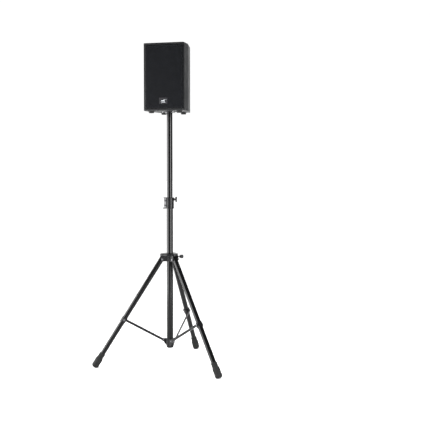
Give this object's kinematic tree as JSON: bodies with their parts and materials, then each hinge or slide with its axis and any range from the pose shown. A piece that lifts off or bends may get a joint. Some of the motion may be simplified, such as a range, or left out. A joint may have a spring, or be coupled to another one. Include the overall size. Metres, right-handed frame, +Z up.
{
  "type": "loudspeaker on tripod stand",
  "caption": "Compact black loudspeaker cabinet with a perforated front grille, on a telescoping pole and folding three-leg stand.",
  "frame": {"origin": "middle of the tripod's footprint, on the floor", "axes": "+Z up; the cabinet's front faces -Y, its right side as seen from the front is +X"},
  "size_m": [0.8338, 0.7584, 1.964],
  "materials": {
    "black_tube_paint": "gloss powder coat",
    "black_bar_paint": "satin powder coat",
    "black_casting": "moulded glass-filled nylon, satin",
    "grey_steel": "zinc plated",
    "bright_fasteners": "bright zinc",
    "knob_plastic": "hard moulded plastic",
    "liner_plastic": "low-friction nylon",
    "rubber": "matt black rubber",
    "cabinet_paint": "fine-textured black paint on fibreboard",
    "baffle_board": "black painted fibreboard",
    "grille_paint": "powder-coated perforated steel",
    "foam": "open-cell black foam",
    "badge": "gloss black with a light printed mark",
    "basket_steel": "black pressed steel",
    "cone_paper": "coated paper",
    "surround_rubber": "soft rubber roll",
    "spider_cloth": "resin-treated cloth",
    "copper": "enamelled copper wire",
    "magnet": "ceramic magnet and steel plates",
    "horn_plastic": "moulded plastic",
    "circuit": "circuit board with parts",
    "plate_paint": "black powder coat",
    "socket_plastic": "moulded plastic",
    "black_screws": "black oxide",
    "shell_screw_steel": "bright zinc",
    "socket_metal": "black powder coat"
  },
  "bodies": {
    "stand_base": {"outer_tube": "black_tube_paint", "bottom_hub": "black_casting", "strut_pivot_rivets": "bright_fasteners", "collar_body": "black_casting", "collar_liner": "liner_plastic", "clamp_cheeks": "grey_steel", "clamp_bolts": "bright_fasteners"},
    "collar_handle": {"collar_knob": "knob_plastic", "collar_screw": "bright_fasteners"},
    "sliding_hub": {"leg_hub": "black_casting", "hub_liner": "liner_plastic", "leg_pivot_bolts": "bright_fasteners"},
    "hub_handle": {"hub_knob": "knob_plastic", "hub_screw": "bright_fasteners"},
    "upper_pole": {"inner_pole": "black_tube_paint", "pole_glide": "liner_plastic", "pole_cap": "knob_plastic"},
    "cabinet": {"top_panel": "cabinet_paint", "bottom_panel": "cabinet_paint", "left_panel": "cabinet_paint", "right_panel": "cabinet_paint", "back_panel": "cabinet_paint", "baffle": "baffle_board", "grille": "grille_paint", "grille_foam": "foam", "badge": "badge", "woofer_basket": "basket_steel", "woofer_surround": "surround_rubber", "woofer_spider": "spider_cloth", "woofer_magnet": "magnet", "horn": "horn_plastic", "compression_driver": "magnet", "front_screws": "black_screws", "crossover": "circuit", "connector_plate": "plate_paint", "connector_sockets": "socket_plastic", "bracket_inserts": "shell_screw_steel", "pole_socket": "socket_metal", "cabinet_feet": "rubber", "shell_screws": "shell_screw_steel"},
    "cone": {"woofer_cone": "cone_paper", "voice_coil": "copper"},
    "leg_rear": {"leg_tube_rear": "black_tube_paint", "leg_foot_rear": "rubber", "strut_bracket_rear": "black_bar_paint", "bracket_bolt_rear": "bright_fasteners"},
    "brace_rear": {"strut_rear": "black_bar_paint", "strut_pin_rear": "bright_fasteners"},
    "leg_left": {"leg_tube_left": "black_tube_paint", "leg_foot_left": "rubber", "strut_bracket_left": "black_bar_paint", "bracket_bolt_left": "bright_fasteners"},
    "brace_left": {"strut_left": "black_bar_paint", "strut_pin_left": "bright_fasteners"},
    "leg_right": {"leg_tube_right": "black_tube_paint", "leg_foot_right": "rubber", "strut_bracket_right": "black_bar_paint", "bracket_bolt_right": "bright_fasteners"},
    "brace_right": {"strut_right": "black_bar_paint", "strut_pin_right": "bright_fasteners"}
  },
  "joints": [
    {"name": "hub_slide", "type": "slide", "parent": "stand_base", "child": "sliding_hub", "axis": [0, 0, 1], "range_m": [0, 0.20803]},
    {"name": "pole_height", "type": "slide", "parent": "stand_base", "child": "upper_pole", "axis": [0, 0, 1], "range_m": [-0.49, 0.15]},
    {"name": "cabinet_swivel", "type": "hinge", "parent": "upper_pole", "child": "cabinet", "pos_m": [0.0175, -0.09863, 1.559], "axis": [0, 0, 1], "continuous": true},
    {"name": "cone_travel", "type": "slide", "parent": "cabinet", "child": "cone", "axis": [0, -1, 0], "range_m": [-0.004, 0.004], "stiffness_N_per_m": 2500, "deforming": ["woofer_surround", "woofer_spider"]},
    {"name": "collar_knob_turn", "type": "hinge", "parent": "stand_base", "child": "collar_handle", "pos_m": [0.04603, -0.08936, 1.022], "axis": [0.9511, 0.309, 0], "range_deg": [0, 450]},
    {"name": "hub_knob_turn", "type": "hinge", "parent": "sliding_hub", "child": "hub_handle", "pos_m": [0.06259, -0.07702, 0.668], "axis": [0.9018, 0.4321, 0], "range_deg": [0, 450]},
    {"name": "leg_fold_rear", "type": "hinge", "parent": "sliding_hub", "child": "leg_rear", "pos_m": [0.02142, -0.04778, 0.655], "axis": [-0.9971, 0.0767, 0], "range_deg": [0, 28.5]},
    {"name": "brace_fold_rear", "type": "hinge", "parent": "stand_base", "child": "brace_rear", "pos_m": [0.02057, -0.05874, 0.151], "axis": [0.9971, -0.0767, 0], "range_deg": [0, 52.38]},
    {"name": "leg_fold_left", "type": "hinge", "parent": "sliding_hub", "child": "leg_left", "pos_m": [-0.02849, -0.12066, 0.655], "axis": [0.4321, -0.9018, 0], "range_deg": [0, 28.5]},
    {"name": "brace_fold_left", "type": "hinge", "parent": "stand_base", "child": "brace_left", "pos_m": [-0.01857, -0.11591, 0.151], "axis": [-0.4321, 0.9018, 0], "range_deg": [0, 52.38]},
    {"name": "leg_fold_right", "type": "hinge", "parent": "sliding_hub", "child": "leg_right", "pos_m": [0.05958, -0.12744, 0.655], "axis": [0.565, 0.8251, 0], "range_deg": [0, 28.5]},
    {"name": "brace_fold_right", "type": "hinge", "parent": "stand_base", "child": "brace_right", "pos_m": [0.05051, -0.12123, 0.151], "axis": [-0.565, -0.8251, 0], "range_deg": [0, 52.38]}
  ],
  "couplings": [
    {"joint": "leg_fold_rear", "follows": "hub_slide", "rad_per_m": 2.3909},
    {"joint": "brace_fold_rear", "follows": "hub_slide", "rad_per_m": 4.3939},
    {"joint": "leg_fold_left", "follows": "hub_slide", "rad_per_m": 2.3909},
    {"joint": "brace_fold_left", "follows": "hub_slide", "rad_per_m": 4.3939},
    {"joint": "leg_fold_right", "follows": "hub_slide", "rad_per_m": 2.3909},
    {"joint": "brace_fold_right", "follows": "hub_slide", "rad_per_m": 4.3939}
  ]
}
